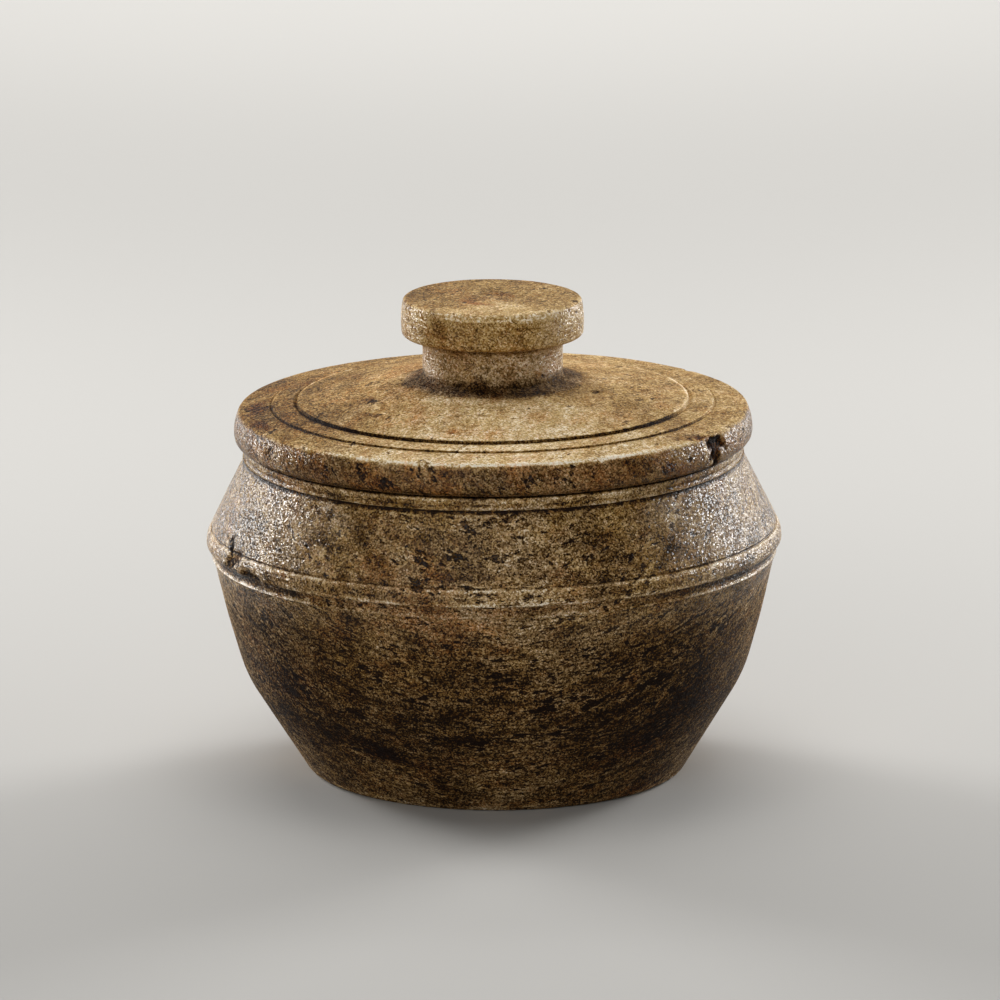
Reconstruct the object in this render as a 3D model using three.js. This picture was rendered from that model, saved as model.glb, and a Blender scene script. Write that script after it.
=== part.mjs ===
// A turned stone vessel with a lift-off lid, in millimetres, with +Z up.
// The body is a double cone that stands on a small flat base and widens to a sharp ridge.
// Above the ridge a straight shoulder closes in to a moulded collar, and the lid rests on its rim.
// The lid is one stone with its knob: a low cone with two scribed rings, a neck and a drum-shaped grip,
// and a flange under it that keeps it in the middle of the mouth.
// The origin is the middle of the base.

import * as THREE from 'three';

// Body, outside: heights are stacked from the base upward, radii are from the axis.
const BASE_RADIUS = 39.2;
const BASE_EDGE_ROUND = 2.2;
const FOOT_HEIGHT = 21.2;
const FOOT_TOP_RADIUS = 52.3;
const FOOT_TURN_ROUND = 30;
const WALL_HEIGHT = 24.4;
const WALL_SWELL = 0.35;
const WALL_SWELL_ROUND = 180;
const RAISED_LINE_HEIGHT = 0.9;
const RAISED_LINE_RELIEF = 0.4;
const RECESS_HEIGHT = 1.7;
const RECESS_DEPTH = 1.4;
const RIDGE_RADIUS = 60;
const RIDGE_FACE_HEIGHT = 1.9;
const RIDGE_UNDER_ROUND = 1.2;
const RIDGE_TOP_ROUND = 4;
const SHOULDER_HEIGHT = 16.5;
const SHOULDER_LINE_FROM_RIDGE = 2.2;
const SHOULDER_LINE_WIDTH = 0.6;
const SHOULDER_LINE_DEPTH = 0.35;
const COLLAR_RADIUS = 51.9;
const COLLAR_BEAD_HEIGHT = 0.8;
const COLLAR_GROOVE_HEIGHT = 0.8;
const COLLAR_RELIEF = 0.25;
const RIM_BAND_HEIGHT = 1.1;
const RIM_EDGE_ROUND = 0.35;

// Body, inside
const RIM_LAND = 10;
const MOUTH_DEPTH = 6.5;
const MOUTH_EDGE_ROUND = 0.8;
const WALL_THICKNESS = 8;
const FLOOR_THICKNESS = 9;
const INNER_ROUND = 14;

// Lid, outside
const SEAT_CLEARANCE = 0.3;
const LID_OVERHANG = 2.1;
const LID_EDGE_HEIGHT = 7;
const LID_EDGE_TAPER = 1.05;
const LID_WIDEST_SHARE = 0.6;
const LID_LOWER_ROUND = 2.4;
const LID_UPPER_ROUND = 1.3;
const LID_SIDE_ROUND = 14;
const LID_TOP_RISE = 5.6;
const OUTER_RING_FROM_EDGE = 6.8;
const OUTER_RING_WIDTH = 0.5;
const OUTER_RING_DEPTH = 0.25;
const RING_SPACING = 5.2;
const INNER_RING_WIDTH = 0.8;
const INNER_RING_DEPTH = 0.5;
const NECK_RADIUS = 14.65;
const NECK_FOOT_SPREAD = 4.3;
const NECK_FOOT_HEIGHT = 1.5;
const NECK_FOOT_ROUND = 1.2;
const NECK_HEIGHT = 7.7;
const NECK_TOP_ROUND = 2.5;
const KNOB_OVERHANG = 4.5;
const KNOB_UNDERSIDE_RISE = 0.7;
const KNOB_HEIGHT = 8.5;
const KNOB_TAPER = 0.5;
const KNOB_LOWER_ROUND = 0.9;
const KNOB_UPPER_ROUND = 1.4;
const KNOB_SIDE_ROUND = 19;
const DISH_RADIUS = 8.8;
const DISH_DEPTH = 0.4;

// Lid, underside
const FLANGE_CLEARANCE = 0.8;
const FLANGE_DEPTH = 5;
const FLANGE_THICKNESS = 6;
const FLANGE_EDGE_ROUND = 1;
const LID_THICKNESS = 5.4;
const LID_HOLLOW_ROUND = 4;
const LID_ROOF_ROUND = 16;

// Fineness of the turned surfaces
const SIDES = 60;
const ARC_ERROR = 0.09;

// One corner of a turned outline. A round makes an arc that is tangent to both of its legs.
const corner = (r, z, round = 0) => ({ r, z, round });

// The radius, at height z, of the straight leg between two corners.
function radiusAt(z, low, high) {
  return low.r + (high.r - low.r) * (z - low.z) / (high.z - low.z);
}

// The height, at radius r, of the straight leg between two corners.
function heightAt(r, from, to) {
  return from.z + (to.z - from.z) * (r - from.r) / (to.r - from.r);
}

// Turns a list of corners into the points of an outline, with every round as an arc.
// An arc takes at most half of the shorter leg, so that neighbouring arcs never cross.
function turnedOutline(corners) {
  const points = corners.map(({ r, z }) => new THREE.Vector2(r, z));
  return corners.flatMap(({ round }, i) => {
    const here = points[i];
    if (!round || i === 0 || i === corners.length - 1) return [here];
    const back = points[i - 1].clone().sub(here);
    const ahead = points[i + 1].clone().sub(here);
    const halfTurn = (Math.PI - back.angleTo(ahead)) / 2;
    const shorterLeg = Math.min(back.length(), ahead.length());
    const reach = Math.min(round * Math.tan(halfTurn), shorterLeg * 0.49);
    const radius = reach / Math.tan(halfTurn);
    const towardCentre = back.clone().normalize().add(ahead.clone().normalize()).normalize();
    const centre = here.clone().addScaledVector(towardCentre, radius / Math.cos(halfTurn));
    const start = here.clone().addScaledVector(back.normalize(), reach).sub(centre);
    const end = here.clone().addScaledVector(ahead.normalize(), reach).sub(centre);
    const sweep = Math.atan2(start.cross(end), start.dot(end));
    const largestStep = 2 * Math.acos(1 - Math.min(ARC_ERROR / radius, 0.5));
    const steps = Math.max(1, Math.ceil(Math.abs(sweep) / largestStep));
    return Array.from({ length: steps + 1 }, (unused, k) =>
      start.clone().rotateAround(new THREE.Vector2(), sweep * k / steps).add(centre));
  });
}

// A V-shaped line scribed across the straight leg from one corner to the next.
// Its middle lies at the given distance along the leg. Stone is on the left of travel.
function scribedLine(from, to, distance, width, depth) {
  const along = new THREE.Vector2(to.r - from.r, to.z - from.z).normalize();
  const point = (s, inward) =>
    corner(from.r + along.x * s - along.y * inward, from.z + along.y * s + along.x * inward);
  return [
    point(distance - width / 2, 0),
    point(distance, depth),
    point(distance + width / 2, 0)
  ];
}

// A narrow band on an upright face: raised with a positive relief, sunk with a negative one.
function band(radius, bottom, height, relief) {
  return [
    corner(radius, bottom),
    corner(radius + relief, bottom + height * 0.3),
    corner(radius + relief, bottom + height * 0.7),
    corner(radius, bottom + height)
  ];
}

// A solid of revolution about Z from an outline that starts and ends on the axis.
function turnedStone(name, corners, material) {
  const geometry = new THREE.LatheGeometry(turnedOutline(corners), SIDES);
  geometry.rotateX(Math.PI / 2);
  const mesh = new THREE.Mesh(geometry, material);
  mesh.name = name;
  return mesh;
}

// Heights and radii that both stones share
const wallTop = FOOT_HEIGHT + WALL_HEIGHT;
const ridgeBottom = wallTop + RAISED_LINE_HEIGHT + RECESS_HEIGHT;
const ridgeTop = ridgeBottom + RIDGE_FACE_HEIGHT;
const shoulderTop = ridgeTop + SHOULDER_HEIGHT;
const rimTop = shoulderTop + COLLAR_BEAD_HEIGHT + COLLAR_GROOVE_HEIGHT + RIM_BAND_HEIGHT;
const mouthRadius = COLLAR_RADIUS - RIM_LAND;

function bodyCorners() {
  const recessRadius = RIDGE_RADIUS - RECESS_DEPTH;
  const base = corner(BASE_RADIUS, 0, BASE_EDGE_ROUND);
  const footTop = corner(FOOT_TOP_RADIUS, FOOT_HEIGHT, FOOT_TURN_ROUND);
  const wallMiddle = corner(
    (FOOT_TOP_RADIUS + recessRadius) / 2 + WALL_SWELL, FOOT_HEIGHT + WALL_HEIGHT / 2, WALL_SWELL_ROUND);
  const ridge = corner(RIDGE_RADIUS, ridgeTop, RIDGE_TOP_ROUND);
  const collarFoot = corner(COLLAR_RADIUS, shoulderTop);
  const grooveBottom = shoulderTop + COLLAR_BEAD_HEIGHT;
  const outside = [
    corner(0, 0),
    base,
    footTop,
    wallMiddle,
    ...band(recessRadius, wallTop, RAISED_LINE_HEIGHT, RAISED_LINE_RELIEF),
    corner(recessRadius, ridgeBottom),
    corner(RIDGE_RADIUS, ridgeBottom, RIDGE_UNDER_ROUND),
    ridge,
    ...scribedLine(ridge, collarFoot, SHOULDER_LINE_FROM_RIDGE, SHOULDER_LINE_WIDTH, SHOULDER_LINE_DEPTH),
    ...band(COLLAR_RADIUS, shoulderTop, COLLAR_BEAD_HEIGHT, COLLAR_RELIEF),
    ...band(COLLAR_RADIUS, grooveBottom, COLLAR_GROOVE_HEIGHT, -COLLAR_RELIEF).slice(1),
    corner(COLLAR_RADIUS, rimTop, RIM_EDGE_ROUND)
  ];
  // the wall keeps its thickness, measured level, under the ridge and down the foot to the floor
  const inside = [
    corner(mouthRadius, rimTop, MOUTH_EDGE_ROUND),
    corner(mouthRadius, rimTop - MOUTH_DEPTH, INNER_ROUND),
    corner(RIDGE_RADIUS - WALL_THICKNESS, ridgeBottom, INNER_ROUND),
    corner(FOOT_TOP_RADIUS - WALL_THICKNESS, FOOT_HEIGHT, FOOT_TURN_ROUND),
    corner(radiusAt(FLOOR_THICKNESS, base, footTop) - WALL_THICKNESS, FLOOR_THICKNESS, INNER_ROUND),
    corner(0, FLOOR_THICKNESS)
  ];
  return [...outside, ...inside];
}

function lidCorners() {
  const lidRadius = COLLAR_RADIUS + LID_OVERHANG;
  const seat = rimTop + SEAT_CLEARANCE;
  const edgeTop = seat + LID_EDGE_HEIGHT;
  const neckFoot = edgeTop + LID_TOP_RISE;
  const neckBottom = neckFoot + NECK_FOOT_HEIGHT;
  const knobBottom = neckBottom + NECK_HEIGHT;
  const knobTop = knobBottom + KNOB_HEIGHT;
  const knobRadius = NECK_RADIUS + KNOB_OVERHANG;
  const edge = corner(lidRadius - LID_EDGE_TAPER, edgeTop, LID_UPPER_ROUND);
  const spread = corner(NECK_RADIUS + NECK_FOOT_SPREAD, neckFoot, NECK_FOOT_ROUND);
  const flangeOuter = mouthRadius - FLANGE_CLEARANCE;
  const flangeInner = flangeOuter - FLANGE_THICKNESS;
  const flangeBottom = seat - FLANGE_DEPTH;
  const underside = [
    corner(0, spread.z - LID_THICKNESS),
    corner(spread.r, spread.z - LID_THICKNESS, LID_ROOF_ROUND),
    corner(flangeInner, heightAt(flangeInner, edge, spread) - LID_THICKNESS, LID_HOLLOW_ROUND),
    corner(flangeInner, flangeBottom, FLANGE_EDGE_ROUND),
    corner(flangeOuter, flangeBottom, FLANGE_EDGE_ROUND),
    corner(flangeOuter, seat)
  ];
  const top = [
    corner(lidRadius, seat, LID_LOWER_ROUND),
    corner(lidRadius, seat + LID_EDGE_HEIGHT * LID_WIDEST_SHARE, LID_SIDE_ROUND),
    edge,
    ...scribedLine(edge, spread, OUTER_RING_FROM_EDGE, OUTER_RING_WIDTH, OUTER_RING_DEPTH),
    ...scribedLine(edge, spread, OUTER_RING_FROM_EDGE + RING_SPACING, INNER_RING_WIDTH, INNER_RING_DEPTH),
    spread
  ];
  const grip = [
    corner(NECK_RADIUS, neckBottom),
    corner(NECK_RADIUS, knobBottom, NECK_TOP_ROUND),
    corner(knobRadius - KNOB_TAPER / 2, knobBottom + KNOB_UNDERSIDE_RISE, KNOB_LOWER_ROUND),
    corner(knobRadius, knobBottom + KNOB_HEIGHT / 2, KNOB_SIDE_ROUND),
    corner(knobRadius - KNOB_TAPER, knobTop, KNOB_UPPER_ROUND),
    corner(DISH_RADIUS, knobTop),
    corner(DISH_RADIUS / 2, knobTop - DISH_DEPTH, DISH_RADIUS),
    corner(0, knobTop - DISH_DEPTH)
  ];
  return [...underside, ...top, ...grip];
}

const bodyStone = new THREE.MeshStandardMaterial({ color: 0x7d7058, roughness: 0.5, metalness: 0 });
const lidStone = new THREE.MeshStandardMaterial({ color: 0xa68a5b, roughness: 0.55, metalness: 0 });

const vessel = new THREE.Group();
vessel.add(turnedStone('vessel_body', bodyCorners(), bodyStone));
vessel.add(turnedStone('lid', lidCorners(), lidStone));

export default vessel;
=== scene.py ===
"""A turned stone vessel with a lift-off lid, dressed on its fixed frame.

Both stones are surfaces of revolution worked out from a turned outline, with hand wear on top:
a slight lean, uneven turning, chipped and rubbed edges, pits, scribed lines and old soil. Their colour
also holds painted shade in hollows, under the lid and towards the foot, and painted highlights on
edges and sides.
"""

import math
from typing import NamedTuple

import bpy
import numpy as np
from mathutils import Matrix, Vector


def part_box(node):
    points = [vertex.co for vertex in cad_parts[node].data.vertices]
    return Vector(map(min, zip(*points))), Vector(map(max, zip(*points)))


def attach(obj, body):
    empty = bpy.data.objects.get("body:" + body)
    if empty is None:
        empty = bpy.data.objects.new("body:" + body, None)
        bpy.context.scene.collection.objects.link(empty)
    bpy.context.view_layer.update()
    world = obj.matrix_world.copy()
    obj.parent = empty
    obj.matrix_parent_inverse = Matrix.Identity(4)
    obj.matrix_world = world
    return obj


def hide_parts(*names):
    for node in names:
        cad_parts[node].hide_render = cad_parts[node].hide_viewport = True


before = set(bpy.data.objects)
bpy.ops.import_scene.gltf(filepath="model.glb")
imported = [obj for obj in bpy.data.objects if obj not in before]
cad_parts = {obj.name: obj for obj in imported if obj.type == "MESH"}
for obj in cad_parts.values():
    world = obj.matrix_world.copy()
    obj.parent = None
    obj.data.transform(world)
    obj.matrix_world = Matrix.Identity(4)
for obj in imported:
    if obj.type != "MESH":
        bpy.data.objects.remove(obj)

bl_info = {
    "name": "Turned Stone Vessel",
    "version": (1, 0, 0),
    "blender": (4, 5, 0),
    "location": "View3D > Sidebar > Stone Vessel",
    "description": "Builds a turned stone vessel with a lift-off lid, its worn surfaces and its stage",
    "category": "Object",
}

MM = 0.001
BODY_HIGH, LID_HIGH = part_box("vessel_body")[1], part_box("lid")[1]

# No edge of the worn stone is sharper than this round, in millimetres
WORN_ROUND = 0.12

# Body, outside, in millimetres: heights are stacked from the base upward
RIDGE_RADIUS = BODY_HIGH.x / MM
BASE_RADIUS, BASE_EDGE_ROUND = 39.2, 2.2
FOOT_TOP_RADIUS, FOOT_HEIGHT, FOOT_TURN_ROUND = 52.3, 21.2, 30
WALL_TOP, WALL_SWELL, WALL_SWELL_ROUND = 45.6, 0.35, 180
RAISED_LINE_HEIGHT, RAISED_LINE_RELIEF, RAISED_LINE_UPPER_SHARE = 0.9, 0.4, 0.45
RECESS_HEIGHT, RECESS_DEPTH, RECESS_ROUND = 1.7, 1.4, 0.2
RIDGE_FACE_HEIGHT, RIDGE_UNDER_ROUND, RIDGE_TOP_ROUND = 1.9, 1.2, 4
RIDGE_BOTTOM = WALL_TOP + RAISED_LINE_HEIGHT + RECESS_HEIGHT
RIDGE_TOP = RIDGE_BOTTOM + RIDGE_FACE_HEIGHT
SHOULDER_HEIGHT = 16.5
SHOULDER_TOP = RIDGE_TOP + SHOULDER_HEIGHT
SHOULDER_LINE_FROM_RIDGE, SHOULDER_LINE_WIDTH, SHOULDER_LINE_DEPTH = 2.2, 0.55, 0.3
COLLAR_RADIUS, RIM_EDGE_ROUND = 51.9, 0.35
LIP_HEIGHT, LIP_RELIEF, LIP_TO_GROOVE = 0.45, 0.35, 0.1
COLLAR_GROOVE_HEIGHT, COLLAR_GROOVE_DEPTH = 0.9, 0.12
RIM_TOP = BODY_HIGH.z / MM

# Body, inside
MOUTH_RADIUS, MOUTH_DEPTH, MOUTH_EDGE_ROUND = 41.9, 6.5, 0.8
WALL_THICKNESS, FLOOR_THICKNESS, INNER_ROUND = 8, 9, 14

# Lid
SEAT_GAP = 0.3
SEAT = RIM_TOP + SEAT_GAP
LID_RADIUS, LID_EDGE_TAPER, LID_EDGE_HEIGHT = LID_HIGH.x / MM, 1.05, 7
LID_LOWER_ROUND, LID_SIDE_ROUND, LID_UPPER_ROUND, LID_WIDEST_SHARE = 2.4, 14, 0.9, 0.6
LID_EDGE_TOP, LID_TOP_RISE = SEAT + LID_EDGE_HEIGHT, 5.6
OUTER_RING_FROM_EDGE, OUTER_RING_WIDTH, OUTER_RING_DEPTH, OUTER_RING_STEP = 6.8, 0.55, 0.4, 0.2
RING_SPACING, INNER_RING_WIDTH, INNER_RING_DEPTH, INNER_RING_STEP = 5.2, 0.8, 0.85, 0.35
NECK_RADIUS, NECK_HEIGHT, NECK_BOTTOM_ROUND, NECK_TOP_ROUND = 14.65, 7.7, 0.3, 2.5
NECK_FOOT_SPREAD, NECK_FOOT_HEIGHT, NECK_FOOT_ROUND = 4.3, 1.5, 1.2
KNOB_OVERHANG, KNOB_UNDERSIDE_RISE, KNOB_TAPER = 4.5, 0.7, 0.5
KNOB_LOWER_ROUND, KNOB_SIDE_ROUND, KNOB_UPPER_ROUND = 0.9, 19, 1.1
KNOB_RADIUS, KNOB_TOP = NECK_RADIUS + KNOB_OVERHANG, LID_HIGH.z / MM
NECK_FOOT = LID_EDGE_TOP + LID_TOP_RISE
KNOB_BOTTOM = NECK_FOOT + NECK_FOOT_HEIGHT + NECK_HEIGHT
DISH_RADIUS, DISH_DEPTH, DISH_EDGE_ROUND = 8.8, 0.4, 1.5
FLANGE_RADIUS, FLANGE_THICKNESS, FLANGE_DEPTH, FLANGE_EDGE_ROUND = 41.1, 6, 5, 1
LID_THICKNESS, LID_HOLLOW_ROUND, LID_ROOF_ROUND = 5.4, 4, 16

# Height gained along each millimetre of the shoulder, and radius along each millimetre of the lid's cone
SHOULDER_RISE, CONE_RUN = 0.9, 0.986
SHOULDER_LINE_HEIGHT = RIDGE_TOP + SHOULDER_LINE_FROM_RIDGE * SHOULDER_RISE
EDGE_RADIUS = LID_RADIUS - LID_EDGE_TAPER
OUTER_RING_RADIUS = EDGE_RADIUS - OUTER_RING_FROM_EDGE * CONE_RUN
INNER_RING_RADIUS = OUTER_RING_RADIUS - RING_SPACING * CONE_RUN

# How outlines are divided: the widest turn of one step of an arc, in radians; the largest share of a
# leg that a round may take; and how close to either end a leg has one more point, in millimetres
ARC_TURN, LARGEST_ROUND_SHARE, END_POINT = 0.4, 0.49, 0.12

# The axis leans to the left as it rises, about the ridge, and the rings are a little out of level
LEAN = 0.0085
LEVEL_ERROR_HEIGHTS = [0, 20, 48, 72, 82, 96, 100]
LEVEL_ERROR_SLOPES = [0, 0.006, 0.012, 0.0105, 0.0085, 0.003, 0]

# The body's tone by height in millimetres, from 0 for black to 1 for white
# The tones darken below the ridge towards the foot, most in a band low on the wall: partly the stone's own
# tone and partly painted shade of light falling from above
BODY_TONE_HEIGHTS = [0, 3, 9, 13, 20, 27, 36, 44, 46, 48.4, 50, 53, 60, 66, 69.3]
BODY_TONES = [0.3, 0.29, 0.26, 0.18, 0.18, 0.24, 0.3, 0.4, 0.45, 0.48, 0.46, 0.42, 0.42, 0.47, 0.5]

# Lamps: place and target in metres, width and height in metres, power in watts and spread in degrees
LAMPS = [
    ("left softbox", (-0.74, 0.71, 0.28), (0, 0, 0.06), 0.34, 0.5, 1.9, 70),
    ("right softbox", (0.74, 0.71, 0.28), (0, 0, 0.06), 0.34, 0.5, 1.9, 70),
    ("overhead softbox", (0.0, 0.1, 1.5), (0, 0, 0), 1.1, 1.1, 9.4, 180),
    ("front fill", (-0.35, -1.5, 0.62), (0, 0, 0.06), 1.0, 0.8, 8.5, 180),
    ("backdrop lamp", (0.0, 1.1, 0.9), (0, 1.0, 0), 1.2, 0.6, 8, 120),
]
WORLD_STRENGTH, FLOOR_HALF_WIDTH = 0.25, 6.0

# Camera, fitted to the photograph's outline: place and target in metres, lens and sensor in millimetres
CAMERA_PLACE, CAMERA_TARGET = (0, -1.9, 0.51108), (0.00121, 0, 0.05654)
CAMERA_LENS, CAMERA_SENSOR = 337.6, 36
# How far the camera sees, in metres
CAMERA_REACH = 20


class Mark(NamedTuple):
    """A chip, scratch or pit in the stone, or a stain on it where the depth is 0.

    The bearing is in degrees from the front towards the right, and the slant is in degrees as well. Lengths
    are in millimetres. Tone and rust are what the mark adds to the stone's own. Where a chip, scratch or
    pit is darker, that is partly painted shade in its hollow.
    """
    bearing: float
    radius: float
    height: float
    half_width: float
    half_height: float
    slant: float
    depth: float
    tone: float
    rust: float


LID_MARKS = [Mark(*row) for row in [
    # the broken edge at the right, darkened partly by painted shade in the break, with stains above it and
    # pale spots that are partly fresh stone and partly painted highlights
    (58.8, 53.9, 74.6, 3.6, 2.2, 8, 1.0, -0.26, 0.4),
    (57.6, 53.9, 72.6, 2.0, 2.6, -12, 0.9, -0.20, 0.4),
    (54.5, 52.0, 76.6, 3.0, 1.3, 0, 0.4, -0.22, 0.5),
    (51.0, 50.4, 77.0, 3.6, 1.7, 20, 0, -0.20, 0.5),
    (56.4, 53.9, 71.2, 0.7, 0.5, 0, 0, 0.40, -0.4),
    (54.3, 53.7, 74.4, 0.6, 2.4, 6, 0, 0.30, -0.4),
    (58.6, 53.9, 73.1, 0.4, 0.35, 0, 0, 0.45, 0.2),
    # two scratches in the edge at the left
    (-59.1, 53.9, 73.9, 0.24, 2.5, 46, 0.32, -0.40, 0),
    (-58.3, 53.9, 73.4, 0.2, 2.0, 46, 0.25, -0.30, 0),
    # small chips along the front of the edge
    (23.4, 53.0, 76.2, 1.1, 0.6, 0, 0.35, -0.15, 0.2),
    (30.2, 53.3, 75.6, 1.0, 0.6, 0, 0.3, -0.15, 0.2),
    (33.4, 53.2, 75.8, 1.3, 0.6, 0, 0.35, -0.15, 0.2),
    (-22.4, 53.0, 76.2, 0.9, 0.5, 0, 0.3, -0.2, 0.1),
    (-44.0, 53.2, 75.9, 1.7, 0.6, 0, 0.3, -0.12, 0.3),
    # a pit in the cone by the neck
    (67.6, 23.4, 81.5, 1.2, 0.9, 0, 0.5, -0.40, 0.2),
    # stains on the cone
    (-66.0, 28.1, 80.7, 2.8, 1.7, 20, 0, -0.20, 0.4),
    (-47.8, 32.4, 80.0, 2.0, 1.2, 0, 0, -0.18, 0.2),
    (-43.0, 37.9, 79.1, 1.6, 1.6, 0, 0, -0.12, 0.1),
    (-13.2, 35.6, 79.5, 1.2, 1.2, 0, 0, -0.15, 0.6),
    (-4.6, 27.3, 80.8, 1.7, 0.7, 20, 0, -0.15, 0.2),
    (-86.0, 49.0, 77.3, 5.0, 2.6, 0, 0, -0.14, 0.7),
    (-70.0, 50.5, 77.0, 5.0, 1.6, 0, 0, -0.10, 0.6),
    # stains on the edge
    (-23.8, 54.0, 72.4, 3.5, 2.2, 0, 0, -0.09, 0.3),
    (-2.6, 54.0, 71.2, 2.6, 1.1, 0, 0, -0.08, -0.5),
    (-41.0, 54.0, 73.3, 3.2, 2.2, 0, 0, -0.09, 0.2),
    (41.6, 54.0, 72.3, 1.3, 1.5, 0, 0, -0.15, 0.3),
    # stains on the knob
    (-35.0, 18.9, 96.0, 3.6, 1.8, 0, 0, -0.12, 0.2),
    (20.0, 18.9, 96.6, 2.4, 1.2, 0, 0, -0.10, 0.2),
    (-30.0, 6.0, 99.5, 5.0, 2.0, 0, 0, -0.08, 0.6),
    (150.0, 5.0, 99.5, 4.0, 2.0, 0, 0, -0.08, 0.6),
    # chips in the edge at the back
    (128.0, 53.2, 75.8, 2.4, 1.6, 10, 0.5, -0.2, 0.3),
    (-140.0, 53.9, 71.0, 3.0, 1.4, 0, 0.6, -0.2, 0.3),
    (-155.0, 53.2, 76.0, 1.8, 0.8, 0, 0.4, -0.15, 0.2),
]]
BODY_MARKS = [Mark(*row) for row in [
    # the broken ridge at the left, its hollows darkened partly by painted shade
    (-64.6, 60.0, 50.2, 3.6, 1.9, -30, 0.7, -0.20, 0.4),
    (-67.6, 58.4, 53.2, 0.8, 2.2, -40, 0.6, -0.30, 0.3),
    (-57.5, 60.0, 48.6, 3.8, 1.0, 0, 0.9, -0.25, 0.1),
    (-50.0, 60.0, 48.3, 2.6, 0.7, 0, 0.4, -0.10, 0.1),
    # small chips along the rest of the ridge
    (-30.0, 60.0, 48.3, 2.0, 0.5, 0, 0.4, -0.10, 0),
    (24.0, 60.0, 48.2, 3.0, 0.5, 0, 0.35, -0.10, 0),
    (118.0, 60.0, 49.3, 3.4, 1.2, 0, 0.6, -0.15, 0.2),
    (-125.0, 60.0, 50.0, 2.6, 1.1, 8, 0.5, -0.15, 0.2),
    (172.0, 60.0, 48.6, 2.2, 0.8, 0, 0.5, -0.15, 0.1),
    # chips in the foot's edge
    (-35.0, 39.6, 0.8, 3.2, 1.0, 0, 0.6, 0, 0),
    (12.0, 39.6, 0.6, 2.2, 0.8, 0, 0.45, 0, 0),
    (66.0, 39.6, 0.9, 2.6, 1.0, 0, 0.6, 0, 0),
    (140.0, 39.6, 0.8, 3.6, 1.2, 0, 0.6, 0, 0),
    (-110.0, 39.6, 0.7, 2.8, 1.0, 0, 0.5, 0, 0),
    # a chip in the rim
    (96.0, 52.0, 68.8, 1.6, 0.6, 0, 0.3, 0, 0),
    # stains on the wall
    (-38.8, 49.3, 16.3, 8, 3.6, 20, 0, -0.12, 0.3),
    (-27.0, 47.2, 12.9, 7, 2.6, 10, 0, -0.12, 0.3),
    (-8.0, 50.1, 17.7, 9, 1.5, 0, 0, -0.16, 0),
    (-15.8, 52.4, 22.2, 6, 1.2, 0, 0, -0.16, 0),
    (1.0, 55.4, 32.1, 8, 2.4, 0, 0, -0.12, -0.2),
    (-4.8, 57.6, 41.2, 6, 1.8, 0, 0, -0.12, -0.2),
    (-8.0, 58.0, 43.0, 15, 5.0, 0, 0, 0.05, 0.4),
    (38.4, 47.6, 13.6, 10, 5.0, -15, 0, -0.08, 0.5),
    (49.4, 52.4, 22.2, 9, 5.0, -15, 0, -0.10, 0.3),
    (31.6, 56.4, 36.2, 7, 4.0, 0, 0, -0.06, 0.1),
    (-48.4, 53.5, 25.3, 6, 4.0, 20, 0, -0.07, 0.1),
    # this lighter patch is a painted highlight along the left of the wall, where the side light grazes it
    (-62.0, 54.0, 27.0, 8, 9.0, 0, 0, 0.05, 0.3),
    (150.0, 54.0, 30.0, 12, 4.0, 10, 0, -0.10, 0.2),
    (-150.0, 50.0, 18.0, 10, 5.0, -10, 0, -0.08, 0.4),
    (105.0, 56.0, 36.0, 9, 3.0, 0, 0, -0.10, 0),
]]


def linear(hex_colour):
    """An sRGB colour such as 0xA58A58 as linear RGBA."""
    channels = [(hex_colour >> shift & 255) / 255 for shift in (16, 8, 0)]
    return [c / 12.92 if c <= 0.04045 else ((c + 0.055) / 1.055) ** 2.4 for c in channels] + [1.0]


def tone_property(name, description, hex_colour):
    """A colour that the user may change."""
    return bpy.props.FloatVectorProperty(
        name=name, description=description, default=linear(hex_colour), subtype="COLOR", size=4,
        min=0, max=1)


def length_property(name, description, millimetres):
    """A length that the user may change."""
    return bpy.props.FloatProperty(
        name=name, description=description, default=millimetres * MM, unit="LENGTH", subtype="DISTANCE")


class StoneSizes(bpy.types.PropertyGroup):
    """How worn and how coarse the stone is."""
    columns: bpy.props.IntProperty(
        name="Columns", description="Points round each turned surface", default=366, min=24)
    fine_step: length_property("Step", "Distance between points along the outline that shows", 0.8)
    coarse_step: length_property("Hidden step", "Distance between points along the hollows", 4)
    unevenness: length_property("Unevenness", "How far hand finishing leaves the surface out of true", 0.12)
    grain: length_property("Grain", "Width of one grain of the stone", 0.28)
    fibre: length_property("Fibre", "Length of the fibres that lie along the bedding", 1.6)
    fleck: length_property("Fleck", "Length of the thin black flecks", 2.2)
    speck: length_property("Speck", "Distance between the black specks", 1.8)
    streak: length_property("Streak", "Length of the dark and rusty streaks", 8)
    patch: length_property("Patch", "Width of the cloudy patches", 18)
    tool_mark: length_property("Tool mark", "Distance between the rings that turning left", 0.5)


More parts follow.
